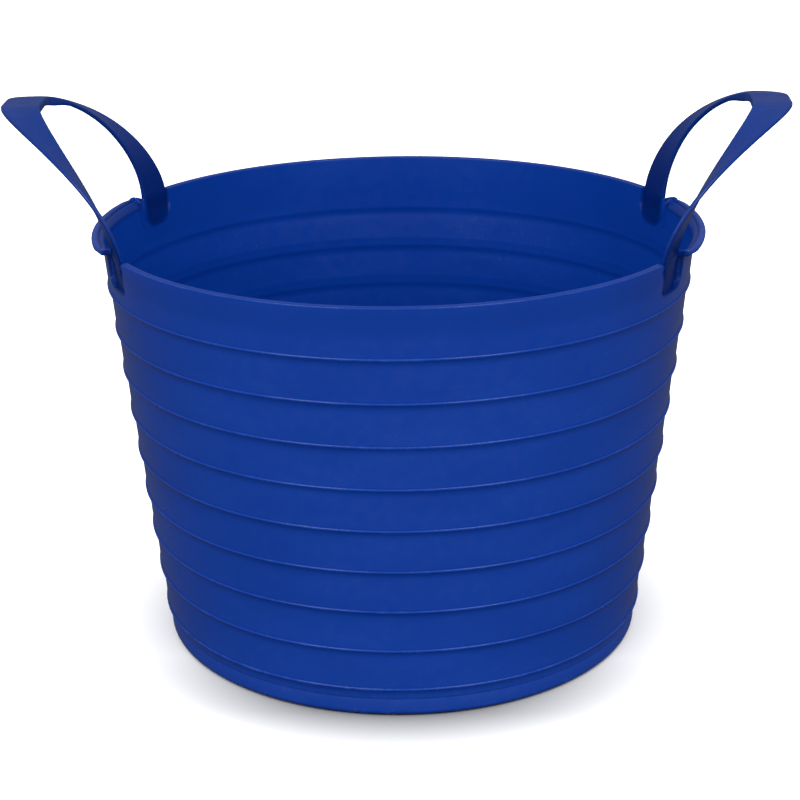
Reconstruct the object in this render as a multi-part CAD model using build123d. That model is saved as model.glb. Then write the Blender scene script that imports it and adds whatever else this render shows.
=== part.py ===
from build123d import *

import os
from math import cos, radians, sin

# Feed bucket: a flexible moulded tub with stepped walls and two strap handles.
# Millimetres. +Z is up, +X runs through the right handle, -Y is the front.
# The origin is the centre of the base, on the surface that the tub stands on.

# Tub
HEIGHT = 279.0  # base to the top of the rim
RIM_RADIUS = 196.0  # outside of the rim bead
WALL = 2.8
CREST_AT_BASE = 161.9  # radius over the ledges, carried down to the base plane
TAPER = 0.1222  # growth of that radius per mm of height, a 7 degree draft
BAND_TAPER = 0.092  # each band is drawn a little steeper between its ledges

# Ledges: each band ends at its top in a small proud edge that curves back in below
LEDGE_COUNT = 9
LEDGE_PITCH = 28.3
LOWEST_LEDGE = 20.9
LEDGE_PROUD = 1.0  # step out from the band above
LEDGE_LAND = 0.8  # upright part of the proud edge
LEDGE_BACK = 2.5  # how far the curve below it comes back in
LEDGE_DROP = 7.0  # over this height
INNER_STEP_TOP = 3.0  # the inner face steps in from here
INNER_STEP_FOOT = 9.0  # to here, below the ledge

# Base
FLOOR_THICKNESS = 3.0
FLOOR_LIFT = 2.0  # the floor's underside stands clear of the ground
FOOT_RING_INNER = 150.0
BASE_CORNER = 4.0
INNER_CORNER = 6.0

# Rim
BEAD_HEIGHT = 3.5
BEAD_INNER = 191.2
BEAD_ROUND = 0.9
LIP_RADIUS = 200.5  # between the feet of each handle the rim turns further out
LIP_ROUND = 1.6
LIP_END = 21.5  # degrees from the X axis, close to the flute
FOOT_ANGLE_NEAR = 18.5  # each handle foot fills this sector, measured from the X axis
FOOT_ANGLE_FAR = 32.8
FOOT_BOTTOM = 250.0

# Handle straps: middle lines of the strap's two edges, as curves from a foot to the
# straight grip. Each has its foot, its way out of the foot, its way into the grip and
# the end of the grip's straight part.
STRAP_THICKNESS = 2.8
NEAR_FOOT = (176.3, 72.0, HEIGHT)
NEAR_RISE = (7.3, 26.0, 45.5)
NEAR_REACH = (0, 27.0, 0)
NEAR_GRIP = (228.0, 7.5, 359.0)
FAR_FOOT = (167.8, 101.3, HEIGHT)
FAR_RISE = (9.2, 8.5, 54.0)
FAR_REACH = (0, 36.0, 0)
FAR_GRIP = (251.5, 14.0, 359.6)
STRAP_STATIONS = 14  # sections from foot to grip
GRIP_START = 9  # the grip takes over from the branch at this section
STRAP_BURIED = 8.0  # the strap's plate carries on down into the foot

# Handle feet: the wall is pressed in to a flute, whose floor is the strap's own plate
FLUTE_BOTTOM = 256.5
FLUTE_ROUND = 11.0
FLUTE_SIDE = 2.8

# Living hinge at the feet: the foot ends in a round, the strap in a matching hollow
HINGE_X = 171.9
HINGE_Z = 286.0
HINGE_ROUND = 9.0
HINGE_GAP = 0.35


def crest_radius(z):
    return CREST_AT_BASE + TAPER * z


def ring(face, start=0.0, stop=360.0):
    """Turn a section in the XZ plane about the tub's axis between two angles."""
    return revolve(face, Axis.Z, stop - start).rotate(Axis.Z, start)


def section(*edges):
    return make_face(Curve() + list(edges))


def outline(points):
    """Closed section in the XZ plane through (radius, height) points."""
    return make_face(Polyline(*[(r, 0, z) for r, z in points], close=True))


def ledge_curve(z):
    """Proud edge and the curve below it, for the ledge at height z."""
    crest = crest_radius(z)
    start = (crest, 0, z - LEDGE_LAND)
    middle = (crest - 0.68 * LEDGE_BACK, 0, z - 0.5 * LEDGE_DROP)
    end = (crest - LEDGE_BACK, 0, z - LEDGE_DROP)
    return start, ThreePointArc(start, middle, end), end


def wall_band(z_low, z_high):
    """One band of the wall, from the ledge at its top down to the next one."""
    crest = crest_radius(z_high)
    foot = crest_radius(z_low) - LEDGE_PROUD
    start, curve, end = ledge_curve(z_high)
    rest = Polyline(
        end,
        (foot, 0, z_low),
        (foot - WALL, 0, z_low),
        (crest - LEDGE_BACK - WALL, 0, z_high - INNER_STEP_FOOT),
        (crest - LEDGE_PROUD - WALL, 0, z_high - INNER_STEP_TOP),
        (crest - LEDGE_PROUD - WALL, 0, z_high),
        (crest, 0, z_high),
        start,
    )
    return ring(section(curve, rest))


def base_band():
    """Lowest band, from the first ledge down to the foot ring."""
    crest = crest_radius(LOWEST_LEDGE)
    seam = FLOOR_LIFT + FLOOR_THICKNESS
    outer = crest - LEDGE_BACK - BAND_TAPER * (LOWEST_LEDGE - LEDGE_DROP - seam)
    inner = outer - WALL
    start, curve, end = ledge_curve(LOWEST_LEDGE)
    down = Polyline(end, (outer, 0, seam), (inner - INNER_CORNER, 0, seam))
    half = INNER_CORNER * (1 - cos(radians(45)))
    corner = ThreePointArc(
        (inner - INNER_CORNER, 0, seam),
        (inner - half, 0, seam + half),
        (inner, 0, seam + INNER_CORNER),
    )
    up = Polyline(
        (inner, 0, seam + INNER_CORNER),
        (crest - LEDGE_PROUD - WALL, 0, LOWEST_LEDGE - INNER_STEP_TOP),
        (crest - LEDGE_PROUD - WALL, 0, LOWEST_LEDGE),
        (crest, 0, LOWEST_LEDGE),
        start,
    )
    return ring(section(curve, down, corner, up))


def foot_ring():
    """Ring that the tub stands on, with the rounded bottom corner."""
    crest = crest_radius(LOWEST_LEDGE)
    seam = FLOOR_LIFT + FLOOR_THICKNESS
    outer = crest - LEDGE_BACK - BAND_TAPER * (LOWEST_LEDGE - LEDGE_DROP - seam)
    half = BASE_CORNER * (1 - cos(radians(45)))
    corner = ThreePointArc(
        (outer - BASE_CORNER, 0, 0), (outer - half, 0, half), (outer, 0, BASE_CORNER)
    )
    rest = Polyline(
        (outer, 0, BASE_CORNER),
        (outer, 0, seam),
        (FOOT_RING_INNER, 0, seam),
        (FOOT_RING_INNER, 0, 0),
        (outer - BASE_CORNER, 0, 0),
    )
    return ring(section(corner, rest))


def floor_disc():
    return Pos(0, 0, FLOOR_LIFT + FLOOR_THICKNESS / 2) * Cylinder(FOOT_RING_INNER, FLOOR_THICKNESS)


def ledge_height(index):
    return LOWEST_LEDGE + LEDGE_PITCH * index


def collar_section():
    """Plain band between the top ledge and the rim."""
    z_low = ledge_height(LEDGE_COUNT - 1)
    z_high = HEIGHT - BEAD_HEIGHT
    low = crest_radius(z_low) - LEDGE_PROUD
    high = low + BAND_TAPER * (z_high - z_low)
    return outline([(low, z_low), (high, z_high), (high - WALL, z_high), (low - WALL, z_low)])


def rim_section(outer, rounding):
    """Thickened edge at the top of the wall, out to a given radius."""
    z_low = HEIGHT - BEAD_HEIGHT
    face = outline([(BEAD_INNER, z_low), (outer, z_low), (outer, HEIGHT), (BEAD_INNER, HEIGHT)])
    return fillet(face.vertices().sort_by(Axis.Z)[2:], rounding)


def rim_bead(start, stop):
    return ring(rim_section(RIM_RADIUS, BEAD_ROUND), start, stop)


def lip_sector(start, stop):
    return ring(rim_section(LIP_RADIUS, LIP_ROUND), start, stop)


def sector(start, stop, z_low, z_high):
    """Wedge of space about the tub's axis, used to part the rim."""
    reach = 2 * RIM_RADIUS
    edge = [(0, 0), (reach * cos(radians(start)), reach * sin(radians(start)))]
    edge.append((reach * cos(radians(stop)), reach * sin(radians(stop))))
    return Pos(0, 0, z_low) * extrude(make_face(Polyline(*edge, close=True)), z_high - z_low)


def foot_sectors():
    """The four wedges that the handle feet take out of the collar."""
    wedge = sector(FOOT_ANGLE_NEAR, FOOT_ANGLE_FAR, FOOT_BOTTOM, HEIGHT + 10)
    pair = [wedge, mirror(wedge, Plane.XZ)]
    return pair + [mirror(one, Plane.YZ) for one in pair]


def top_collar():
    collar = ring(collar_section())
    for wedge in foot_sectors():
        collar -= wedge
    return collar


def plate_plane():
    """Plane of the strap's plate at a foot: X along it, Y up, Z outwards."""
    along = (Vector(FAR_FOOT) - Vector(NEAR_FOOT)).normalized()
    return Plane(origin=NEAR_FOOT, x_dir=along, z_dir=along.cross(Vector(0, 0, 1)))


def flute_prism(margin, depth_low, depth_high):
    """U-shaped prism on the plate's plane, grown by margin at its side and bottom."""
    length = (Vector(FAR_FOOT) - Vector(NEAR_FOOT)).length + 14
    height = HEIGHT - FLUTE_BOTTOM + margin
    face = Pos(length / 2 - margin, -height / 2) * Rectangle(length, height)
    face = fillet(face.vertices().sort_by(Axis.Y)[:2], FLUTE_ROUND + margin)
    face = plate_plane().offset(depth_low) * face
    return extrude(face, depth_high - depth_low, dir=plate_plane().z_dir)


def strap_edge(foot, rise, reach, grip):
    foot, grip = Vector(foot), Vector(grip)
    return Bezier(foot, foot + Vector(rise), grip + Vector(reach), grip)


def across(vector):
    """The same vector on the other side of the XZ plane."""
    return Vector(vector.X, -vector.Y, vector.Z)


def on_middle(point):
    """The same point moved onto the XZ plane."""
    return Vector(point[0], 0, point[2])


def strap_sections():
    """Cross-sections of the right strap, from inside its back foot to inside its front foot."""
    near = strap_edge(NEAR_FOOT, NEAR_RISE, NEAR_REACH, NEAR_GRIP)
    far = strap_edge(FAR_FOOT, FAR_RISE, FAR_REACH, FAR_GRIP)
    up = Vector(0, 0, 1)
    steps = [i / (STRAP_STATIONS - 1) for i in range(1, STRAP_STATIONS)]
    back = [(near @ 0 - up * STRAP_BURIED, far @ 0 - up * STRAP_BURIED, up), (near @ 0, far @ 0, up)]
    back += [(near @ t, far @ t, near % t + far % t) for t in steps]
    back.append((on_middle(NEAR_GRIP), on_middle(FAR_GRIP), Vector(0, -1, 0)))
    front = [(across(a), across(b), across(way) * -1) for a, b, way in reversed(back[:-1])]
    faces = []
    for a, b, way in back + front:
        half = (b - a).cross(way).normalized() * (STRAP_THICKNESS / 2)
        faces.append(make_face(Polyline(a + half, b + half, b - half, a - half, close=True)))
    return faces


def hinge_round(radius):
    """Cylinder about the right handle's hinge line, with everything below the line."""
    reach = 2 * RIM_RADIUS
    rod = Pos(HINGE_X, 0, HINGE_Z) * Rot(90, 0, 0) * Cylinder(radius, reach)
    below = Pos(HINGE_X, 0, HINGE_Z - 25) * Box(80, reach, 50)
    return rod + below


def handle_foot():
    """Back foot of the right handle, with the root of the strap."""
    wedge = sector(FOOT_ANGLE_NEAR, FOOT_ANGLE_FAR, FOOT_BOTTOM, HEIGHT)
    shell = (ring(collar_section()) + rim_bead(0, 360)) & wedge
    shell += lip_sector(FOOT_ANGLE_NEAR, LIP_END)
    inside = outline([(0, FOOT_BOTTOM), (192, FOOT_BOTTOM), (193.4, HEIGHT), (0, HEIGHT)])
    bulge = flute_prism(FLUTE_SIDE, -WALL / 2, 20) & ring(inside) & wedge
    recess = flute_prism(0, WALL / 2, 40)
    root = loft(strap_sections()[:6], ruled=True) & hinge_round(HINGE_ROUND)
    return shell + bulge - recess + root


def strap_branch():
    """Back branch of the right handle, from its hinge to the grip."""
    branch = loft(strap_sections()[: GRIP_START + 2], ruled=True)
    return branch - hinge_round(HINGE_ROUND + HINGE_GAP)


def strap_grip():
    """Middle of the right handle's strap."""
    return loft(strap_sections()[GRIP_START + 1 : -GRIP_START - 1], ruled=True)


def write_pair(shape, name):
    """Write a right-hand piece and its mirror image at the left."""
    export_step(shape, f"parts/{name.format('right')}.step")
    export_step(mirror(shape, Plane.YZ), f"parts/{name.format('left')}.step")


os.makedirs("parts", exist_ok=True)

export_step(floor_disc(), "parts/floor_disc.step")
export_step(foot_ring(), "parts/foot_ring.step")
export_step(base_band(), "parts/base_band.step")
for index in range(LEDGE_COUNT - 1):
    band = wall_band(ledge_height(index), ledge_height(index + 1))
    export_step(band, f"parts/wall_band_{index + 1:02d}.step")
export_step(top_collar(), "parts/top_collar.step")

export_step(rim_bead(FOOT_ANGLE_FAR, 180 - FOOT_ANGLE_FAR), "parts/rim_bead_back.step")
export_step(rim_bead(180 + FOOT_ANGLE_FAR, 360 - FOOT_ANGLE_FAR), "parts/rim_bead_front.step")
write_pair(lip_sector(-FOOT_ANGLE_NEAR, FOOT_ANGLE_NEAR), "rim_lip_{}")

foot = handle_foot()
write_pair(foot, "handle_foot_{}_back")
write_pair(mirror(foot, Plane.XZ), "handle_foot_{}_front")
branch = strap_branch()
write_pair(branch, "handle_branch_{}_back")
write_pair(mirror(branch, Plane.XZ), "handle_branch_{}_front")
write_pair(strap_grip(), "handle_grip_{}")
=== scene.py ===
from math import atan2, cos, degrees, hypot, pi, radians, sin

import bpy
from mathutils import Matrix, Vector


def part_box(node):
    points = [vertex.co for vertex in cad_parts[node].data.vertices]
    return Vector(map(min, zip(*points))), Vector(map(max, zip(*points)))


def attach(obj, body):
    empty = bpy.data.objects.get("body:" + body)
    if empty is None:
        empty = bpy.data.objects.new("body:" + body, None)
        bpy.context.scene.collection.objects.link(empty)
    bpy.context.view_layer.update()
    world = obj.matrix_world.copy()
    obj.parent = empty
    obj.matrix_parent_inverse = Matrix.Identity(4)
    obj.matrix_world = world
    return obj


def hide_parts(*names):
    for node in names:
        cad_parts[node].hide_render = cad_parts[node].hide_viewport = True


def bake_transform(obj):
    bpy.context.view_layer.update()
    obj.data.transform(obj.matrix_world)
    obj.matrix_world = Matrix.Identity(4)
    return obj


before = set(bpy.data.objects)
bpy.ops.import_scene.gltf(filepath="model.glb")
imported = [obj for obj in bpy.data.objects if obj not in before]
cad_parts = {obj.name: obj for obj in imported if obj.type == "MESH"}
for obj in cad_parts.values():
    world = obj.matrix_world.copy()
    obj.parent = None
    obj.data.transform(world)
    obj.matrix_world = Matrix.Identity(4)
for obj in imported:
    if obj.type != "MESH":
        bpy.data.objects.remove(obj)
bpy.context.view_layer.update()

# Feed bucket: one flexible polyethylene moulding. Lengths are in metres, angles in degrees.
MM = 0.001
LEDGES = 9
COLUMNS = 288  # sections of a turned piece

# Places read from the frame
RIM_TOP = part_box("rim_bead_front")[1].z
RIM_RADIUS = -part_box("rim_bead_front")[0].y
RIM_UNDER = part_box("rim_bead_front")[0].z
LIP_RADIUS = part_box("rim_lip_right")[1].x
COLLAR_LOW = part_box("top_collar")[0].z
COLLAR_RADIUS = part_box("top_collar")[1].x
FLOOR_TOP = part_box("floor_disc")[1].z
FLOOR_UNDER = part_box("floor_disc")[0].z
BASE_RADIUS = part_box("foot_ring")[1].x

# Wall section
WALL = 2.8 * MM
BAND_TAPER = 0.092  # growth of a band's radius per metre of height
PROUD = 1.0 * MM  # each ledge stands out from the band above it
EDGE_ROUND = 0.9 * MM
EDGE_WEAR = (0.2 * MM, 1.2 * MM)  # rubbed from the crest to here, and clean from there on
COVE = (-2.17 * MM, -3.45 * MM)  # the hollow under a ledge, from its corner
COVE_END = (-2.5 * MM, -7.0 * MM)
# soft groove behind a ledge: points of the inner face in mm, from the ledge's corner
GROOVE = ((-3.80, 0.0), (-4.12, -3.6), (-4.34, -6.0), (-4.12, -8.2), (-4.18, -10.4), (-4.75, -13.6))

# Base
FOOT_CORNER = 4.0 * MM
FOOT_CORNER_TOP = 5.0 * MM
INNER_CORNER = 6.0 * MM
RING_INNER = 150.0 * MM  # the standing ring's inner edge
WITNESS_HEIGHT = 12.0 * MM  # fine line left by the mould round the lowest band
WITNESS_DEPTH = 0.25 * MM
UNDER_RECESS = (30 * MM, 89 * MM)  # shallow round recess under the floor
GATE_PIP = (1.2 * MM, 4.6 * MM)  # small raised ring at the moulding's gate

# Rim
BEAD_INNER = 191.2 * MM
BEAD_ROUND = 0.5 * MM
BEAD_FLARE = (2.45 * MM, 22 * MM)  # the wall's outer face bends out by this much over this height
BEAD_UNDER = 2.3 * MM  # the bead's underside lies this much above the lip's
CROWN_DIP = 0.4 * MM  # shallow valley along the bead's top
CREASE = (RIM_TOP - 0.5 * MM, RIM_TOP - 0.3 * MM)  # heights that belong to that valley
CREASE_RADIUS = 195 * MM  # it lies within this radius
LIP_ROUND = 1.65 * MM
LIP_INNER_ROUND = 1.6 * MM
LIP_END = 20.8  # degrees from the handle's middle
LIP_END_RADIUS = 198.6 * MM
LIP_TAPER = 4.5  # degrees over which the lip grows to its full radius
LIP_FLARE = (4.2 * MM, 6.5 * MM)  # the wall's inner face bends out by this much over this height
NUB_RISE = 0.9 * MM  # small raised nub at each end of a lip

# Handle feet: a flute pressed into the outer face, which shows as a tongue on the inner face
FOOT_RADIUS = 193 * MM
FLUTE_START = 19.6  # degrees from the handle's middle: the outside flute is wider than the strap
FLUTE_NEAR = 21.2  # the two sides of the strap's plate
FLUTE_FAR = 31.2
FLUTE_NARROWING = 2.0  # degrees that the flute's far side comes in below the rim
FLUTE_BOTTOM = 256.0 * MM
FLUTE_ROUNDS = (9 * MM, 4 * MM)  # bottom corners, near and far
TONGUE_BOTTOM = 258.0 * MM
TONGUE_ROUNDS = (15 * MM, 12 * MM)
# offset of the foot's plate from the wall, at its bottom and at the rim
NEAR_OFFSET = (-2.8 * MM, -2.5 * MM)
FAR_OFFSET = (-1.2 * MM, 2.5 * MM)
FEET = ("front", "back")

# Strap: middle lines of its two edges in mm, as control points of curves from a foot to the grip
STRAP = 2.8 * MM
STRAP_BURIED = 1.4 * MM  # thickness inside the foot
BURIED_HEIGHTS = (268, 270, 272, 274, 276, 277.6)
NEAR_EDGE = ((177.4, 69.0, 279.0), (183.6, 100.0, 324.8), (228.0, 31.5, 359.4), (228.0, 9.0, 359.4))
FAR_EDGE = ((167.0, 100.8, 279.0), (176.8, 112.0, 333.8), (253.0, 43.0, 359.5), (253.0, 8.0, 359.5))
# degrees that the front and back feet and the grips stand round towards the front
FORWARD = {"left": (0.1, 1.3), "right": (1.7, 2.3)}
GRIP_FORWARD = 1.75
GRIP_INNER = 228.0 * MM
GRIP_OUTER = 251.0 * MM
LEAN = {"left": 0.012, "right": -0.016}  # how far each strap leans out, per metre of height
# rise of the grip's inner and outer edge towards the back
TILT = {"left": (0.06, 0.01), "right": (0.09, 0.045)}
TILT_HEIGHT = (10 * MM, 80 * MM)  # above the rim, the tilt grows over this height
TILT_BEND = 12 * MM  # half length over which the tilt starts at the grip's middle
ROOT_HEIGHT = 20 * MM  # the strap is a little thicker up to here
ROOT_EXTRA = 0.3 * MM
TURN_HEIGHT = 45 * MM  # above the rim, the feet's turn has become the grip's here
PANEL_DEPTH = 0.22 * MM  # recess in the grip's upper face
PANEL_HALF = (9.2 * MM, 10.2 * MM)  # from full depth to none, along the grip
PANEL_INSET = (2.6 * MM, 3.4 * MM)  # from none to full depth, in from the edges
FLANGE_DROP = 3.0 * MM  # turned down inner edge under the grip
FLANGE_HALF = (25 * MM, 50 * MM)
FLANGE_WIDTH = (1.5 * MM, 6 * MM)
GRIP_WEAR = 0.6
GRIP_WEAR_HALF = (20 * MM, 45 * MM)
BACK_SHADE = (8 * MM, 56 * MM)  # above the rim, the roots' deep shade fades over this height
FRONT_SHADE = (8 * MM, 32 * MM)


# ---------------------------------------------------------------- small helpers

def smooth(low, high, x):
    """0 below low, 1 above high, and an S-curve between them."""
    t = min(1.0, max(0.0, (x - low) / (high - low)))
    return t * t * (3 - 2 * t)


def mix(a, b, t):
    return a + (b - a) * t


def arc(centre, radius, start, stop, steps):
    """Points on a circle in the (radius, height) plane, angles in degrees."""
    angles = [radians(mix(start, stop, i / steps)) for i in range(steps + 1)]
    return [(centre[0] + radius * cos(a), centre[1] + radius * sin(a)) for a in angles]


def curve(points, steps):
    """Bezier curve through its end points, in two or three dimensions."""
    out = []
    for i in range(steps + 1):
        t = i / steps
        row = [Vector(p) for p in points]
        while len(row) > 1:
            row = [a.lerp(b, t) for a, b in zip(row, row[1:])]
        out.append(tuple(row[0]))
    return out


def line(start, end, steps):
    """Points after start, up to and with end."""
    return [
        (mix(start[0], end[0], i / steps), mix(start[1], end[1], i / steps))
        for i in range(1, steps + 1)
    ]


def make_piece(name, vertices, faces, material, wear_and_highlight, sharp=38, hollow=None):
    """Smooth mesh object with its material, and on each point a wear value (rubbed edges, with a
    painted highlight on the rim) and a hollow value (painted shade).
    """
    mesh = bpy.data.meshes.new(name)
    mesh.from_pydata(vertices, [], faces)
    mesh.update()
    for polygon in mesh.polygons:
        polygon.use_smooth = True
    mesh.set_sharp_from_angle(angle=radians(sharp))
    for key, values in (("wear_and_highlight", wear_and_highlight), ("hollow", hollow)):
        attribute = mesh.attributes.new(key, "FLOAT", "POINT")
        attribute.data.foreach_set("value", values or [0.0] * len(vertices))
    mesh.materials.append(material)
    piece = bpy.data.objects.new(name, mesh)
    bpy.context.scene.collection.objects.link(piece)
    return piece


def closed_grid(rows, columns):
    """Faces of a grid that closes on itself both ways."""
    faces = []
    for j in range(columns):
        k = (j + 1) % columns
        for i in range(rows):
            n = (i + 1) % rows
            faces.append((j * rows + i, k * rows + i, k * rows + n, j * rows + n))
    return faces


def turned(profile):
    """Points of a (radius, height) profile, turned about the tub's axis."""
    vertices = []
    for j in range(COLUMNS):
        a = 2 * pi * j / COLUMNS
        vertices += [(r * cos(a), r * sin(a), z) for r, z in profile]
    return vertices


def lathe(name, profile, material, wear_and_highlight):
    """Closed profile turned about the tub's axis, with a wear value for each of its points."""
    faces = closed_grid(len(profile), COLUMNS)
    return make_piece(name, turned(profile), faces, material, wear_and_highlight * COLUMNS)


# ---------------------------------------------------------------- camera

CAMERA_TURN = 1.95  # degrees round the tub from its front


def make_camera():
    """A long lens, a little above the tub and looking down on it."""
    distance = 1.2803
    height = 0.6107
    pitch = 0.3426  # radians
    roll = -0.0113
    turn = Matrix.Rotation(radians(CAMERA_TURN), 3, "Z")
    ahead = Vector((0, cos(pitch), -sin(pitch)))
    over = Vector((0, sin(pitch), cos(pitch)))
    side = Vector((1, 0, 0))
    right = side * cos(roll) + over * sin(roll)
    up = over * cos(roll) - side * sin(roll)
    axes = Matrix((turn @ right, turn @ up, turn @ -ahead)).transposed()
    data = bpy.data.cameras.new("camera")
    data.lens = 89.96
    data.sensor_width = 36
    data.shift_x = -0.00045
    data.clip_start = 0.05
    camera = bpy.data.objects.new("camera", data)
    bpy.context.scene.collection.objects.link(camera)
    camera.matrix_world = Matrix.Translation(turn @ Vector((0, -distance, height))) @ axes.to_4x4()
    bpy.context.scene.camera = camera


# ---------------------------------------------------------------- materials

RANGE_KEYS = ("From Min", "From Max", "To Min", "To Max")


class Nodes:
    """Short way to write a material's node tree."""

    def __init__(self, name):
        self.material = bpy.data.materials.new(name)
        self.material.use_nodes = True
        self.tree = self.material.node_tree
        self.shader = self.tree.nodes["Principled BSDF"]

    def add(self, kind, **inputs):
        node = self.tree.nodes.new(kind)
        for key, value in inputs.items():
            self.put(node, key.replace("_", " "), value)
        return node

    def put(self, node, key, value):
        socket = node.inputs[int(key)] if key.isdigit() else node.inputs[key]
        if isinstance(value, bpy.types.NodeSocket):
            self.tree.links.new(value, socket)
        else:
            socket.default_value = value

    def math(self, operation, a, b=0.0):
        node = self.add("ShaderNodeMath")
        node.operation = operation
        self.put(node, "0", a)
        self.put(node, "1", b)
        return node.outputs[0]

    def place(self, scale):
        """Object coordinates in metres, stretched by a scale on each axis."""
        source = self.add("ShaderNodeTexCoord")
        mapping = self.add("ShaderNodeMapping", Vector=source.outputs["Object"])
        mapping.inputs["Scale"].default_value = scale
        return mapping.outputs[0]

    def noise(self, where, scale, detail=3.0, roughness=0.5):
        settings = {"Vector": where, "Scale": scale, "Detail": detail, "Roughness": roughness}
        return self.add("ShaderNodeTexNoise", **settings).outputs["Fac"]

    def span(self, value, low, high, out_low, out_high):
        node = self.add("ShaderNodeMapRange", Value=value)
        for key, number in zip(RANGE_KEYS, (low, high, out_low, out_high)):
            node.inputs[key].default_value = number
        return node.outputs[0]

    def blend(self, factor, a, b):
        node = self.add("ShaderNodeMix")
        node.data_type = "RGBA"
        self.put(node, "0", factor)
        self.put(node, "6", a)
        self.put(node, "7", b)
        return node.outputs[2]

    def bump(self, height, strength, distance, normal=None):
        node = self.add("ShaderNodeBump", Height=height, Strength=strength, Distance=distance)
        if normal is not None:
            self.put(node, "Normal", normal)
        return node.outputs[0]


BLUE = (0.0015, 0.040, 0.310, 1)
DEEP_BLUE = (0.0012, 0.035, 0.280, 1)
# Pale rubbed blue for scuffs and hairlines; on the rim's top edges it also serves as a painted
# highlight
SCUFF_AND_HIGHLIGHT = (0.022, 0.090, 0.400, 1)
# Handle blues: the tub's own plastic, darkened as painted shade for the straps' lower light
HANDLE_BLUE_PAINTED_SHADE = (0.0014, 0.028, 0.205, 1)
HANDLE_DEEP_PAINTED_SHADE = (0.0012, 0.024, 0.180, 1)
# Painted shade: the blue and the reflection strength for faces that the hollow attribute marks
PAINTED_SHADE_BLUE = (0.0008, 0.015, 0.130, 1)
PAINTED_SHADE_SHINE = 0.02
POLYETHYLENE_IOR = 1.51


def plastic(name, gloss, scuffs_and_highlights, grain, stretch=(1, 1, 1), shine=0.5, tones=(DEEP_BLUE, BLUE)):
    """Pigmented polyethylene: flow shading, a fine mould texture, hairline marks and rubbed edges.

    The wear attribute rubs edges pale, which on the rim's edges also paints highlight lines, and
    the hollow one paints shade: a darker blue with weaker reflections.
    """
    n = Nodes(name)
    plain = n.place((1, 1, 1))
    cloud = n.noise(n.place(stretch), 9.0, 3.0)
    fine = n.noise(plain, 900.0, 2.0)
    skin = n.noise(plain, 160.0, 3.0, 0.6)
    wave = n.noise(plain, 16.0, 1.0)
    hair = n.span(n.noise(n.place((9, 9, 700)), 1.0, 2.0), 0.70, 0.78, 0.0, 1.0)
    where = n.span(n.noise(plain, 21.0, 2.0), 0.50, 0.70, 0.0, 1.0)
    hair = n.math("MULTIPLY", hair, where)
    wear_and_highlight = n.add("ShaderNodeAttribute")
    wear_and_highlight.attribute_name = "wear_and_highlight"
    # Rubbed pale marks: real wear, and along the rim's top edges a painted highlight line
    rubbed = n.span(n.noise(plain, 75.0, 5.0, 0.7), 0.5, 0.72, 0.0, 1.0)
    rubbed = n.math("MULTIPLY", rubbed, wear_and_highlight.outputs["Fac"])
    colour = n.blend(n.span(cloud, 0.35, 0.65, 0.0, 1.0), *tones)
    rubbed = n.math("MULTIPLY", rubbed, scuffs_and_highlights)
    marks = n.math("MAXIMUM", rubbed, n.math("MULTIPLY", hair, 0.5 * scuffs_and_highlights))
    # hollow attribute: painted shade on recesses, roots and flares, darkening the colour and the
    # reflection
    hollow = n.add("ShaderNodeAttribute")
    hollow.attribute_name = "hollow"
    painted_shade = hollow.outputs["Fac"]
    n.put(n.shader, "Base Color", n.blend(painted_shade, n.blend(marks, colour, SCUFF_AND_HIGHLIGHT), PAINTED_SHADE_BLUE))
    n.put(n.shader, "Specular IOR Level", n.span(painted_shade, 0.0, 1.0, shine, PAINTED_SHADE_SHINE))
    rough = n.span(skin, 0.3, 0.7, gloss - 0.05, gloss + 0.06)
    rough = n.math("ADD", rough, n.math("MULTIPLY", marks, 0.25))
    rough = n.math("ADD", rough, n.span(cloud, 0.3, 0.7, -0.03, 0.03))
    n.put(n.shader, "Roughness", rough)
    normal = n.bump(wave, 0.20, 1.0 * MM)
    normal = n.bump(skin, 0.20 * grain, 0.06 * MM, normal)
    normal = n.bump(fine, 0.25 * grain, 0.03 * MM, normal)
    n.put(n.shader, "Normal", normal)
    n.shader.inputs["IOR"].default_value = POLYETHYLENE_IOR
    return n.material


def wall_material():
    return plastic("tub_wall_polyethylene", gloss=0.21, scuffs_and_highlights=0.35, grain=1.0, stretch=(1, 1, 4))


def base_material():
    return plastic("tub_base_polyethylene", gloss=0.25, scuffs_and_highlights=0.5, grain=1.0)


def rim_material():
    # Its rubbed top edges are partly real wear and partly painted highlight lines
    return plastic("tub_rim_polyethylene", gloss=0.20, scuffs_and_highlights=0.5, grain=0.8)


# Same plastic as the tub, with its blues darkened as painted shade
def handle_material():
    return plastic(
        "handle_polyethylene_painted_shade", gloss=0.27, scuffs_and_highlights=0.3, grain=0.35, stretch=(3, 1, 1), shine=0.30,
        tones=(HANDLE_DEEP_PAINTED_SHADE, HANDLE_BLUE_PAINTED_SHADE),
    )


CONTACT_REACH = 0.055  # how far the contact shadow goes out from the tub
CONTACT_POWER = 1.45  # contrast of that shadow
CONTACT_SIDES = 0.25  # its share at the sides and the back
CONTACT_FRONT = (-0.08, -0.155)  # along Y, it grows from that share to the whole here


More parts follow.
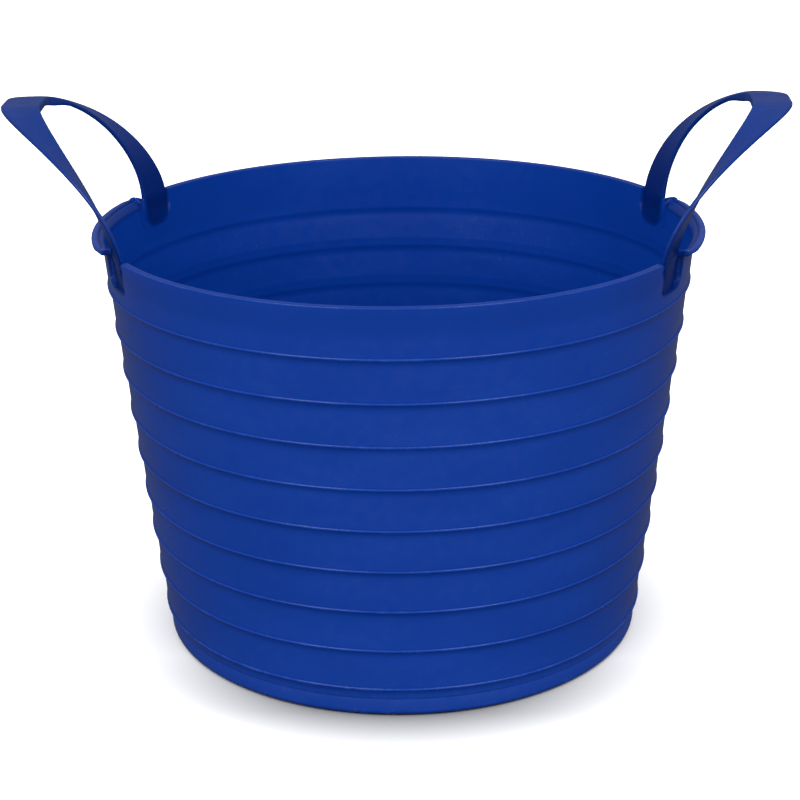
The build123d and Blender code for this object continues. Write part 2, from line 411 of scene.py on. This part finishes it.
def floor_material():
    """Nearly white, with a contact shadow that is strongest in front of the tub."""
    n = Nodes("studio_floor")
    plain = n.place((1, 1, 1))
    cloud = n.noise(plain, 1.5, 2.0)
    pale = n.blend(cloud, (0.95, 0.95, 0.95, 1), (0.97, 0.97, 0.97, 1))
    near = n.add("ShaderNodeAmbientOcclusion", Distance=CONTACT_REACH)
    contact = n.math("SUBTRACT", 1.0, n.math("POWER", near.outputs["AO"], CONTACT_POWER))
    split = n.add("ShaderNodeSeparateXYZ", Vector=plain)
    front = n.span(split.outputs["Y"], *CONTACT_FRONT, CONTACT_SIDES, 1.0)
    shade = n.math("MULTIPLY", contact, front)
    n.put(n.shader, "Base Color", n.blend(shade, pale, (0.0, 0.0, 0.0, 1)))
    n.shader.inputs["Roughness"].default_value = 0.9
    n.shader.inputs["Specular IOR Level"].default_value = 0.1
    return n.material


# ---------------------------------------------------------------- tub wall

def ledge_edge(crest, top):
    """Outer line of a ledge, from its upper inside corner down into the hollow below it."""
    edge = arc((crest - EDGE_ROUND, top - EDGE_ROUND), EDGE_ROUND, 90, -45, 9)
    hollow = (crest + COVE[0], top + COVE[1])
    end = (crest + COVE_END[0], top + COVE_END[1])
    return [(crest - PROUD, top)] + edge + curve([edge[-1], hollow, end], 8)[1:]


def inner_line(crest, top, foot, low):
    """Inner line of a band, from its foot up to its top, with a soft groove behind the ledge."""
    knots = [(crest + r * MM, top + z * MM) for r, z in GROOVE]
    smooth_line = []
    for i in range(len(knots) - 1):
        before = knots[max(i - 1, 0)]
        after = knots[min(i + 2, len(knots) - 1)]
        a, b = knots[i], knots[i + 1]
        first = (a[0] + (b[0] - before[0]) / 6, a[1] + (b[1] - before[1]) / 6)
        second = (b[0] - (after[0] - a[0]) / 6, b[1] - (after[1] - a[1]) / 6)
        smooth_line += curve([a, first, second, b], 4)[:-1]
    smooth_line.append(knots[-1])
    smooth_line += line(knots[-1], (foot - WALL, low), 4)
    return smooth_line[::-1]


def band_profile(crest, top, foot, low):
    """Closed section of a band, from its ledge down to its foot and up the inner face."""
    outer = ledge_edge(crest, top)
    outer += line(outer[-1], (foot, low), 5)
    return outer + inner_line(crest, top, foot, low)


def edge_wear(profile, crest):
    """Full wear on the ledge's crest, fading over a millimetre."""
    return [smooth(EDGE_WEAR[1], EDGE_WEAR[0], crest - r) for r, z in profile]


def make_bands(material):
    """The eight wall bands between the base and the collar, one piece for each."""
    for index in range(1, LEDGES):
        node = f"wall_band_{index:02d}"
        below = f"wall_band_{index - 1:02d}" if index > 1 else "base_band"
        low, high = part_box(node)
        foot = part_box(below)[1].x - PROUD
        profile = band_profile(high.x, high.z, foot, low.z)
        wear_and_highlight = edge_wear(profile, high.x)
        piece = lathe(node + "_moulding", profile, material, wear_and_highlight)
        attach(piece, "tub")
        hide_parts(node)


# ---------------------------------------------------------------- base

def base_outer(crest, top):
    """Outer face of the lowest band, with its witness line and the rounded bottom corner."""
    outer = ledge_edge(crest, top)
    knee = outer[-1]
    share = (WITNESS_HEIGHT - FOOT_CORNER_TOP) / (knee[1] - FOOT_CORNER_TOP)
    side = mix(BASE_RADIUS, knee[0], share)
    half = 0.5 * MM
    outer.append((side, WITNESS_HEIGHT + half))
    outer.append((side - WITNESS_DEPTH, WITNESS_HEIGHT))
    outer.append((side, WITNESS_HEIGHT - half))
    outer.append((BASE_RADIUS, FOOT_CORNER_TOP))
    return outer + arc((BASE_RADIUS - FOOT_CORNER, FOOT_CORNER), FOOT_CORNER, 0, -90, 8)


def base_under():
    """Standing ring and the floor's underside with its recess and gate, in to the axis."""
    recess = FLOOR_UNDER + 0.3 * MM
    pip = FLOOR_UNDER - 0.9 * MM
    gate = FLOOR_UNDER - 0.4 * MM
    return [
        (RING_INNER + 0.8 * MM, 0.0), (RING_INNER, 0.6 * MM), (RING_INNER - 1.2 * MM, FLOOR_UNDER),
        (UNDER_RECESS[1] + 1 * MM, FLOOR_UNDER), (UNDER_RECESS[1], recess),
        (UNDER_RECESS[0], recess), (UNDER_RECESS[0] - 1 * MM, FLOOR_UNDER),
        (GATE_PIP[1] + 0.6 * MM, FLOOR_UNDER), (GATE_PIP[1], pip),
        (GATE_PIP[0], pip), (GATE_PIP[0] - 0.4 * MM, gate), (0.0, gate),
    ]


def base_inside(crest, top):
    """The floor's upper face with a low round boss, and the rounded corner up to the wall."""
    boss = FLOOR_TOP + 0.4 * MM
    corner = BASE_RADIUS - WALL - INNER_CORNER
    inside = [(0.0, boss), (40 * MM, boss), (42 * MM, FLOOR_TOP + 0.1 * MM), (100 * MM, FLOOR_TOP)]
    inside.append((corner - 8 * MM, FLOOR_TOP))
    inside += arc((corner, FLOOR_TOP + INNER_CORNER), INNER_CORNER, -90, 0, 8)
    return inside + [(crest - PROUD - WALL, top)]


def make_base(material):
    """Lowest band, standing ring and floor, closed on the axis by one point below and one above."""
    crest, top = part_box("base_band")[1].x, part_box("base_band")[1].z
    below = base_outer(crest, top) + base_under()
    above = base_inside(crest, top)
    rows = below[:-1] + above[1:]
    first = len(below) - 1  # place of the first row after the axis
    rubbed = [smooth(6 * MM, 1 * MM, z) * smooth(140 * MM, 150 * MM, r) for r, z in rows]
    wear_and_highlight = [max(pair) for pair in zip(rubbed, edge_wear(rows, crest))]
    vertices = turned(rows)
    centre = len(vertices)
    vertices += [(0, 0, below[-1][1]), (0, 0, above[0][1])]
    faces = []
    count = len(rows)
    for j in range(COLUMNS):
        k = (j + 1) % COLUMNS
        for i in range(count):
            n = (i + 1) % count
            if n == first:
                faces.append((j * count + i, k * count + i, centre))
                faces.append((k * count + n, j * count + n, centre + 1))
            else:
                faces.append((j * count + i, k * count + i, k * count + n, j * count + n))
    values = wear_and_highlight * COLUMNS + [0.0, 0.0]
    piece = make_piece("base_moulding", vertices, faces, material, values)
    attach(piece, "tub")
    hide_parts("base_band", "foot_ring", "floor_disc")


# ---------------------------------------------------------------- collar, rim and handle feet

def from_handle(angle):
    """Degrees between a direction and the middle of the nearer handle."""
    a = degrees(atan2(sin(angle), cos(angle)))
    back = a > 0
    if abs(a) < 90:
        return abs(a + FORWARD["right"][back])
    return abs(180 - (a - FORWARD["left"][back]) % 360)


def along_foot(angle):
    """Distance round the wall from a foot's near edge towards its far one."""
    return radians(angle - FLUTE_NEAR) * FOOT_RADIUS


FOOT_WIDTH = radians(FLUTE_FAR - FLUTE_NEAR) * FOOT_RADIUS


def outside_u(angle, z, near, far, bottom, rounds):
    """Distance outside a U-shaped outline that is open at the top, negative inside it."""
    s = radians(angle - near) * FOOT_RADIUS
    width = radians(far - near) * FOOT_RADIUS
    near_round, far_round = rounds
    if s < near_round and z < bottom + near_round:
        return hypot(near_round - s, bottom + near_round - z) - near_round
    if s > width - far_round and z < bottom + far_round:
        return hypot(s - width + far_round, bottom + far_round - z) - far_round
    return max(-s, s - width, bottom - z)


def outside_flute(angle, z):
    """Distance outside the flute in the outer face."""
    far = FLUTE_FAR - FLUTE_NARROWING * smooth(RIM_TOP, RIM_TOP - 12 * MM, z)
    return outside_u(angle, z, FLUTE_START, far, FLUTE_BOTTOM, FLUTE_ROUNDS)


def outside_tongue(angle, z):
    """Distance outside the tongue on the inner face."""
    return outside_u(angle, z, FLUTE_NEAR, FLUTE_FAR, TONGUE_BOTTOM, TONGUE_ROUNDS)


def foot_turn(angle, z):
    """Offset of a foot's plate from the wall: pressed in at the near side, out at the far one."""
    rise = smooth(FLUTE_BOTTOM - 6 * MM, RIM_TOP, z)
    across = min(1.2, max(-0.2, along_foot(angle) / FOOT_WIDTH))
    return mix(mix(*NEAR_OFFSET, rise), mix(*FAR_OFFSET, rise), across)


def flute_step(angle, z):
    """Offset of the outer face at a foot, steep at the near side and soft at the far side."""
    s = along_foot(angle)
    if s < -10 * MM or s > FOOT_WIDTH + 8 * MM or z < FLUTE_BOTTOM - 3 * MM:
        return 0.0
    rise = smooth(FLUTE_BOTTOM, RIM_TOP, z)
    soft = mix(0.6, mix(1.2, 3.2, rise), smooth(0.6 * FOOT_WIDTH, FOOT_WIDTH, s)) * MM
    return foot_turn(angle, z) * smooth(soft, -soft, outside_flute(angle, z))


def tongue_step(angle, z):
    """Offset of the inner face at a foot, soft at the near side and steep at the far side."""
    s = along_foot(angle)
    if s < -6 * MM or s > FOOT_WIDTH + 4 * MM or z < TONGUE_BOTTOM - 4 * MM:
        return 0.0
    soft = mix(2.2, 0.35, smooth(0.2 * FOOT_WIDTH, 0.8 * FOOT_WIDTH, s)) * MM
    return foot_turn(angle, z) * smooth(soft, -soft, outside_tongue(angle, z))


def plate_radii(angle, z):
    """Outer and inner radius of the wall's plate at a foot."""
    outer = wall_radius(z) + flute_step(angle, z)
    bead = smooth(RIM_TOP - 6 * MM, RIM_TOP, z) * (BEAD_INNER - wall_radius(RIM_TOP) + WALL)
    return outer, wall_radius(z) - WALL + bead + tongue_step(angle, z)


def rim_outline(angle):
    """Outer radius of the rim, its rounding and its height, at an angle from a handle's middle."""
    lip = smooth(LIP_END + 0.2, LIP_END - 0.2, angle)
    flute = smooth(LIP_END - 0.1, LIP_END + 0.3, angle)
    flute *= smooth(FLUTE_FAR + 0.2, FLUTE_FAR - 0.2, angle)
    corner = smooth(LIP_END, LIP_END - LIP_TAPER, angle)
    radius = mix(RIM_RADIUS, mix(LIP_END_RADIUS, LIP_RADIUS, corner), lip)
    plate = plate_radii(max(angle, FLUTE_NEAR + 0.3), RIM_TOP)[0]
    nub = smooth(LIP_END - 1.3, LIP_END - 0.7, angle)
    nub *= smooth(LIP_END + 0.25, LIP_END - 0.05, angle)
    return mix(radius, plate, flute), mix(BEAD_ROUND, LIP_ROUND, lip), RIM_TOP + NUB_RISE * nub


def wall_radius(z):
    """Outer radius of the collar, between the top ledge and the rim."""
    return COLLAR_RADIUS - BAND_TAPER * (RIM_UNDER - z)


def collar_column(angle):
    """Closed section of the collar and rim at an angle from a handle's middle."""
    rows = 34
    lip = smooth(LIP_END + 0.2, LIP_END - 0.2, angle)
    bead = smooth(FLUTE_FAR - 0.2, FLUTE_FAR + 0.2, angle)
    under = RIM_UNDER + bead * BEAD_UNDER
    radius, rounding, top = rim_outline(angle)
    outer = []
    for z in [mix(COLLAR_LOW, under, i / rows) for i in range(rows + 1)]:
        flare = bead * smooth(RIM_TOP - BEAD_FLARE[1], RIM_TOP + 2 * MM, z) * BEAD_FLARE[0]
        outer.append((plate_radii(angle, z)[0] + flare, z))
    # the underside's turn takes only the room that is left beside the wall and below the crown
    room = max(0.02 * MM, min(rounding, radius - outer[-1][0], top - under - rounding))
    turn = arc((radius - room, under + room), room, -90, 0, 4)
    over = arc((radius - rounding, top - rounding), rounding, 0, 90, 5)
    inner_edge = plate_radii(angle, RIM_TOP)[1] + lip * LIP_FLARE[0]
    inner_round = mix(BEAD_ROUND, LIP_INNER_ROUND, lip)
    inside = arc((inner_edge + inner_round, top - inner_round), inner_round, 90, 180, 5)
    low = inside[-1][1]
    inner = []
    for z in [mix(low, COLLAR_LOW, (i / rows) ** 1.25) for i in range(1, rows + 1)]:
        rest = min(1.0, (RIM_TOP - z) / LIP_FLARE[1])
        inner.append((plate_radii(angle, z)[1] + lip * LIP_FLARE[0] * (1 - rest) ** 2, z))
    middle = (radius + inner_edge) / 2
    valley = top - CROWN_DIP * bead
    beside = mix(radius - rounding, middle, 0.5), mix(middle, inner_edge + inner_round, 0.5)
    crown = [(beside[0], valley), (middle, valley), (beside[1], valley)]
    return outer + turn + over + crown + inside + inner


def collar_angles():
    """Directions of the sections, close together at the four feet."""
    coarse, fine = 0.9, 0.16
    fine_end = 36.0  # degrees from the handle's middle
    quarter = [coarse * i for i in range(16)]
    start = quarter[-1] + 0.6
    quarter += [start + fine * i for i in range(int((fine_end - start) / fine) + 1)]
    last = quarter[-1]
    rest = int((90 - last) / coarse)
    quarter += [mix(last, 90, i / rest) for i in range(1, rest)]
    half = quarter + [90.0] + [180 - a for a in reversed(quarter[1:])]
    return [radians(a) for a in half + [180 + a for a in half]]


def foot_painted_shade(angle, r, z):
    """Painted shade on the faces of a foot's pressed plate: 1 there, fading out at its soft sides.
    """
    beside = angle < FLUTE_START - 1.5 or angle > FLUTE_FAR + 1
    if beside or z > RIM_TOP or z < FLUTE_BOTTOM - 4 * MM:
        return 0.0
    if r > sum(plate_radii(angle, z)) / 2:
        under_lip = smooth(RIM_TOP, RIM_UNDER - 1 * MM, z) if angle < LIP_END else 1.0
        return under_lip * smooth(2.0 * MM, -0.4 * MM, outside_flute(angle, z))
    return smooth(1.0 * MM, -2.5 * MM, outside_tongue(angle, z))


# Strengths of painted shade: on a lip's flared inner face, and along the valley of the rim's crown
LIP_SHADE = 0.6
CREASE_SHADE = 0.45


def lip_painted_shade(angle, r, z):
    """Painted shade on the flared inner face of a lip, ending at its crown."""
    lip = smooth(LIP_END + 0.2, LIP_END - 1.0, angle)
    inner = plate_radii(angle, RIM_TOP)[1] + LIP_FLARE[0]
    inward = smooth(inner + 2.6 * MM, inner + 1.2 * MM, r)
    return LIP_SHADE * lip * inward * smooth(RIM_TOP - 9 * MM, RIM_TOP - 5 * MM, z)


def make_collar(material):
    """Top band of the tub with its rim, lips and pressed-in handle feet."""
    angles = collar_angles()
    vertices = []
    wear_and_highlight = []
    hollow = []
    for a in angles:
        angle = from_handle(a)
        column = collar_column(angle)
        vertices += [(r * cos(a), r * sin(a), z) for r, z in column]
        for r, z in column:
            # Along the crown's valley: no rubbing, and painted shade
            if CREASE[0] < z < CREASE[1] and r < CREASE_RADIUS:
                wear_and_highlight.append(0.0)
                hollow.append(CREASE_SHADE)
            else:
                # The rim's top edges are rubbed pale: partly wear, partly a painted highlight line
                # along each edge
                wear_and_highlight.append(smooth(RIM_TOP - 0.8 * MM, RIM_TOP - 0.2 * MM, z))
                # painted shade on the feet's pressed plates and the lips' flared inner faces
                hollow.append(max(foot_painted_shade(angle, r, z), lip_painted_shade(angle, r, z)))
    faces = closed_grid(len(column), len(angles))
    name = "collar_and_rim_moulding"
    piece = make_piece(name, vertices, faces, material, wear_and_highlight, 50, hollow)
    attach(piece, "tub")
    feet = [f"handle_foot_{side}_{end}" for side in ("left", "right") for end in FEET]
    rims = ["rim_bead_front", "rim_bead_back", "rim_lip_left", "rim_lip_right"]
    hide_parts("top_collar", *rims, *feet)


# ---------------------------------------------------------------- straps

def strap_stations():
    """(near point, far point) pairs of the right strap, from its back foot to its front foot."""
    steps = 150
    half_grip = 10
    near = [Vector(p) * MM for p in curve(NEAR_EDGE, steps)]
    far = [Vector(p) * MM for p in curve(FAR_EDGE, steps)]
    for edge in (near, far):
        x, y, z = edge[-1]
        edge += [Vector((x, y * (1 - i / half_grip), z)) for i in range(1, half_grip + 1)]
    # below the rim the strap follows the foot's plate, and ends inside it
    buried = []
    for z in [height * MM for height in BURIED_HEIGHTS]:
        pair = []
        for angle in (FLUTE_NEAR + 0.5, FLUTE_FAR - 0.25):
            radius = sum(plate_radii(angle, z)) / 2
            a = radians(angle)
            pair.append(Vector((radius * cos(a), radius * sin(a), z)))
        buried.append(tuple(pair))
    half = buried + list(zip(near, far))
    flip = Matrix.Diagonal((1, -1, 1))
    return half + [(flip @ a, flip @ b) for a, b in reversed(half[:-1])]


def strap_ring(a, b, way, thick, panel, flange):
    """Rounded section of the strap between its edges, and which of its points face outwards.

    The outer face of a branch becomes the grip's underside, and the inner face its upper one.
    """
    wide = b - a
    width = wide.length
    wide = wide / width
    face = wide.cross(way).normalized()
    corner = min(1.1 * MM, 0.42 * thick)
    flat = 9  # steps across each face
    ring = []
    edge, side = width / 2, thick / 2
    sides = (
        ((edge - corner, side - corner), 90, 0),
        ((edge - corner, corner - side), 0, -90),
        ((corner - edge, corner - side), -90, -180),
        ((corner - edge, side - corner), -180, -270),
    )
    corners = [arc(centre, corner, start, stop, 4) for centre, start, stop in sides]
    for index, points in enumerate(corners):
        following = corners[(index + 1) % 4][0]
        ring += points
        if index in (1, 3):
            ring += line(points[-1], following, flat)[:-1]
    out = []
    outer = [height > 0 for across, height in ring]
    for across, height in ring:
        if height < 0:
            height += panel * smooth(*PANEL_INSET, edge - abs(across))
        else:
            height += flange * smooth(FLANGE_WIDTH[1] - edge, FLANGE_WIDTH[0] - edge, across)
        out.append((a + b) / 2 + wide * across + face * height)
    return out, outer


def lean_strap(p, side, sign):
    """Place of a point of the right strap on one side's handle, with its turn, tilt and lean."""
    above = p.z - RIM_TOP
    out = max(0.0, above) * LEAN[side]
    tilt = mix(*TILT[side], smooth(GRIP_INNER, GRIP_OUTER, p.x))
    lift = tilt * (p.y + hypot(p.y, TILT_BEND)) / 2 * smooth(*TILT_HEIGHT, above)
    turn = mix(FORWARD[side][p.y > 0], GRIP_FORWARD, smooth(0.0, TURN_HEIGHT, above))
    place = Vector((sign * (p.x + out), p.y, p.z + lift))
    return Matrix.Rotation(radians(-sign * turn), 3, "Z") @ place


def strap_painted_shade(middle, outer):
    """Painted shade of a strap's root: all round at the back, and on the outer face in front."""
    height = middle.z - RIM_TOP
    if middle.y > 0:
        return [smooth(BACK_SHADE[1], BACK_SHADE[0], height)] * len(outer)
    inside_foot = smooth(2 * MM, -3 * MM, height)
    front = smooth(FRONT_SHADE[1], FRONT_SHADE[0], height)
    return [max(inside_foot, front) if is_outer else inside_foot for is_outer in outer]


def make_strap(side, sign, material):
    """One handle strap, from inside its back foot over the grip to inside its front foot."""
    stations = strap_stations()
    count = len(stations)
    vertices = []
    wear_and_highlight = []
    hollow = []
    for index, (a, b) in enumerate(stations):
        before = stations[max(index - 1, 0)]
        after = stations[min(index + 1, count - 1)]
        way = (after[0] + after[1]) - (before[0] + before[1])
        middle = (a + b) / 2
        root = smooth(ROOT_HEIGHT, 0.0, middle.z - RIM_TOP)
        sunk = smooth(-2 * MM, -9 * MM, middle.z - RIM_TOP)
        thick = mix(STRAP + ROOT_EXTRA * root, STRAP_BURIED, sunk)
        panel = PANEL_DEPTH * smooth(PANEL_HALF[1], PANEL_HALF[0], abs(middle.y))
        flange = FLANGE_DROP * smooth(FLANGE_HALF[1], FLANGE_HALF[0], abs(middle.y))
        ring, outer = strap_ring(a, b, way, thick, panel, flange)
        vertices += [lean_strap(p, side, sign) for p in ring]
        rubbed = GRIP_WEAR * smooth(GRIP_WEAR_HALF[1], GRIP_WEAR_HALF[0], abs(middle.y))
        wear_and_highlight += [rubbed] * len(ring)
        hollow += strap_painted_shade(middle, outer)
    size = len(ring)
    faces = []
    for i in range(count - 1):
        for j in range(size):
            k = (j + 1) % size
            faces.append((i * size + j, i * size + k, (i + 1) * size + k, (i + 1) * size + j))
    faces.append(tuple(reversed(range(size))))
    faces.append(tuple(range((count - 1) * size, count * size)))
    if sign > 0:
        faces = [tuple(reversed(f)) for f in faces]
    name = f"handle_strap_{side}"
    piece = make_piece(name, vertices, faces, material, wear_and_highlight, 50, hollow)
    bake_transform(piece)
    branches = [f"handle_branch_{side}_{foot}" for foot in FEET]
    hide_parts(f"handle_grip_{side}", *branches)


# ---------------------------------------------------------------- studio

def link_light(light, name, floor, only):
    """Let a light reach nothing but the floor, or everything but the floor."""
    group = bpy.data.collections.new(name)
    group.objects.link(floor)
    group.collection_objects[0].light_linking.link_state = "INCLUDE" if only else "EXCLUDE"
    light.light_linking.receiver_collection = group


def make_floor():
    """Plain floor that throws no light back on the tub."""
    half = 14.0
    corners = [(-half, -half, 0), (half, -half, 0), (half, half, 0), (-half, half, 0)]
    mesh = bpy.data.meshes.new("studio_floor")
    mesh.from_pydata(corners, [], [(0, 1, 2, 3)])
    mesh.materials.append(floor_material())
    floor = bpy.data.objects.new("studio_floor", mesh)
    bpy.context.scene.collection.objects.link(floor)
    floor.visible_glossy = False
    floor.visible_diffuse = False
    return floor


SOFTBOX_ELEVATION = 40
SOFTBOX_DISTANCE = 1.8


def make_softbox(name, azimuth, floor):
    """Rectangular studio light that points at the tub. Azimuth 0 is the front."""
    data = bpy.data.lights.new(name, "AREA")
    data.shape = "RECTANGLE"
    data.size = 0.75
    data.size_y = 0.9
    data.energy = 7
    light = bpy.data.objects.new(name, data)
    bpy.context.scene.collection.objects.link(light)
    a, e = radians(azimuth), radians(SOFTBOX_ELEVATION)
    way = Vector((sin(a) * cos(e), -cos(a) * cos(e), sin(e)))
    target = Vector((0, 0, 0.15))
    light.location = target + way * SOFTBOX_DISTANCE
    light.rotation_euler = way.to_track_quat("Z", "Y").to_euler()
    link_light(light, name + "_reach", floor, False)


def make_floor_light(floor):
    """Even light from overhead that only the floor receives."""
    data = bpy.data.lights.new("floor_light", "SUN")
    data.energy = 3.1
    data.angle = radians(80)
    light = bpy.data.objects.new("floor_light", data)
    bpy.context.scene.collection.objects.link(light)
    link_light(light, "floor_light_reach", floor, True)


# Strength of the room's light from one end of its axis to the other, over a grey of 0.8
SEEN = (1.25, 1.25)
LIGHT = (0.03, 1.68)
REFLECTED = (0.02, 0.34)
BRIGHTEST = (0, -0.56, 0.83)  # the way towards the brightest part of the room


def make_world():
    """White room: even for the camera, brightest in front and above, and dim in reflections."""
    world = bpy.data.worlds.new("studio_world")
    world.use_nodes = True
    tree = world.node_tree
    tree.nodes.clear()
    link = tree.links.new
    place = tree.nodes.new("ShaderNodeTexCoord")
    split = tree.nodes.new("ShaderNodeSeparateXYZ")
    link(place.outputs["Generated"], split.inputs[0])
    front = tree.nodes.new("ShaderNodeVectorMath")
    front.operation = "DOT_PRODUCT"
    link(place.outputs["Generated"], front.inputs[0])
    front.inputs[1].default_value = BRIGHTEST
    path = tree.nodes.new("ShaderNodeLightPath")
    layers = []
    up, ahead = split.outputs["Z"], front.outputs["Value"]
    for source, span in ((up, SEEN), (ahead, LIGHT), (up, REFLECTED)):
        level = tree.nodes.new("ShaderNodeMapRange")
        for key, value in zip(RANGE_KEYS, (-1, 1, *span)):
            level.inputs[key].default_value = value
        link(source, level.inputs["Value"])
        layer = tree.nodes.new("ShaderNodeBackground")
        link(level.outputs[0], layer.inputs["Strength"])
        layers.append(layer.outputs[0])
    seen, light, reflected = layers
    for kind, layer in (("Is Glossy Ray", reflected), ("Is Camera Ray", seen)):
        mixer = tree.nodes.new("ShaderNodeMixShader")
        link(path.outputs[kind], mixer.inputs[0])
        link(light, mixer.inputs[1])
        link(layer, mixer.inputs[2])
        light = mixer.outputs[0]
    output = tree.nodes.new("ShaderNodeOutputWorld")
    link(light, output.inputs[0])
    bpy.context.scene.world = world
    bpy.context.scene.view_settings.view_transform = "Standard"


make_camera()
make_base(base_material())
make_bands(wall_material())
make_collar(rim_material())
strap_plastic = handle_material()
make_strap("right", 1, strap_plastic)
make_strap("left", -1, strap_plastic)
studio = make_floor()
make_softbox("softbox_left", -36, studio)
make_softbox("softbox_right", 35, studio)
make_floor_light(studio)
make_world()
